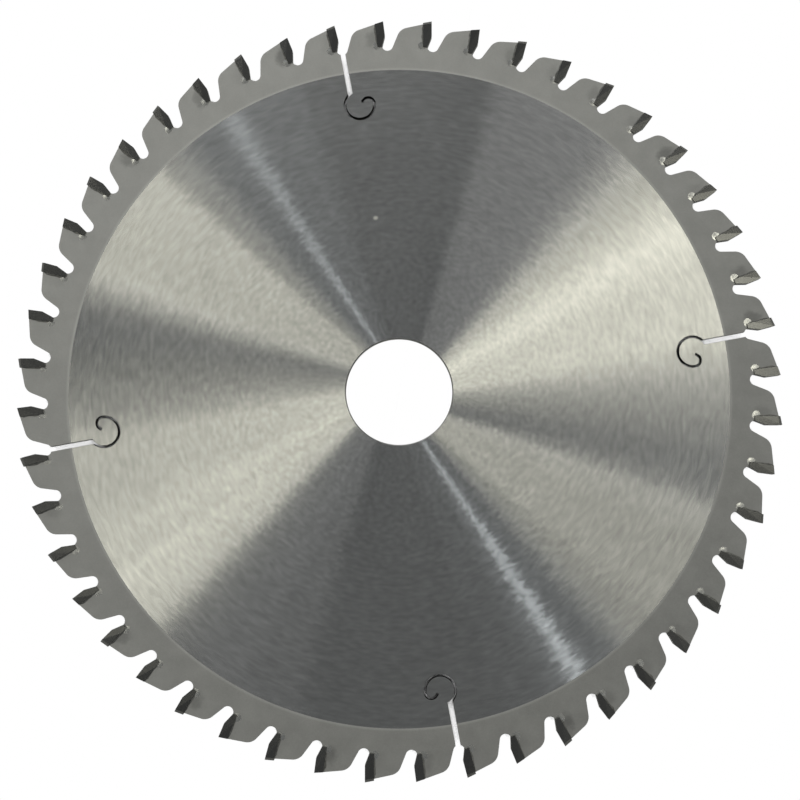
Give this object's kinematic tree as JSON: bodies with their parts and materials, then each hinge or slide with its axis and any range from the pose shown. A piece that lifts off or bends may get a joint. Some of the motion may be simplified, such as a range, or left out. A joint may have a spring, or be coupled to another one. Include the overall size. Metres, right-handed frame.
{
  "type": "circular saw blade",
  "caption": "Flat round saw blade: a steel plate with a plain arbor bore, curled expansion slots and small carbide tips brazed to hooked teeth around its rim.",
  "frame": {"origin": "centre of the arbor bore, at the middle of the plate's thickness", "axes": "+Z along the arbor axis, up from the face that shows when the blade lies flat; +X through the first tooth's cutting edge; seen from +Z the blade cuts clockwise"},
  "size_m": [0.216, 0.216, 0.0028],
  "materials": {
    "plate_steel": "ground with concentric marks, with a blasted matte rim",
    "carbide": "fine ground cemented carbide, dark grey",
    "braze": "dull silver braze"
  },
  "bodies": {
    "root": {"plate": "plate_steel", "braze_joints": "braze", "chamfer_tip_01": "carbide", "raker_tip_02": "carbide", "chamfer_tip_03": "carbide", "raker_tip_04": "carbide", "chamfer_tip_05": "carbide", "raker_tip_06": "carbide", "chamfer_tip_07": "carbide", "raker_tip_08": "carbide", "chamfer_tip_09": "carbide", "raker_tip_10": "carbide", "chamfer_tip_11": "carbide", "raker_tip_12": "carbide", "chamfer_tip_13": "carbide", "raker_tip_14": "carbide", "chamfer_tip_15": "carbide", "raker_tip_16": "carbide", "chamfer_tip_17": "carbide", "raker_tip_18": "carbide", "chamfer_tip_19": "carbide", "raker_tip_20": "carbide", "chamfer_tip_21": "carbide", "raker_tip_22": "carbide", "chamfer_tip_23": "carbide", "raker_tip_24": "carbide", "chamfer_tip_25": "carbide", "raker_tip_26": "carbide", "chamfer_tip_27": "carbide", "raker_tip_28": "carbide", "chamfer_tip_29": "carbide", "raker_tip_30": "carbide", "chamfer_tip_31": "carbide", "raker_tip_32": "carbide", "chamfer_tip_33": "carbide", "raker_tip_34": "carbide", "chamfer_tip_35": "carbide", "raker_tip_36": "carbide", "chamfer_tip_37": "carbide", "raker_tip_38": "carbide", "chamfer_tip_39": "carbide", "raker_tip_40": "carbide", "chamfer_tip_41": "carbide", "raker_tip_42": "carbide", "chamfer_tip_43": "carbide", "raker_tip_44": "carbide", "chamfer_tip_45": "carbide", "raker_tip_46": "carbide", "chamfer_tip_47": "carbide", "raker_tip_48": "carbide"}
  },
  "joints": []
}
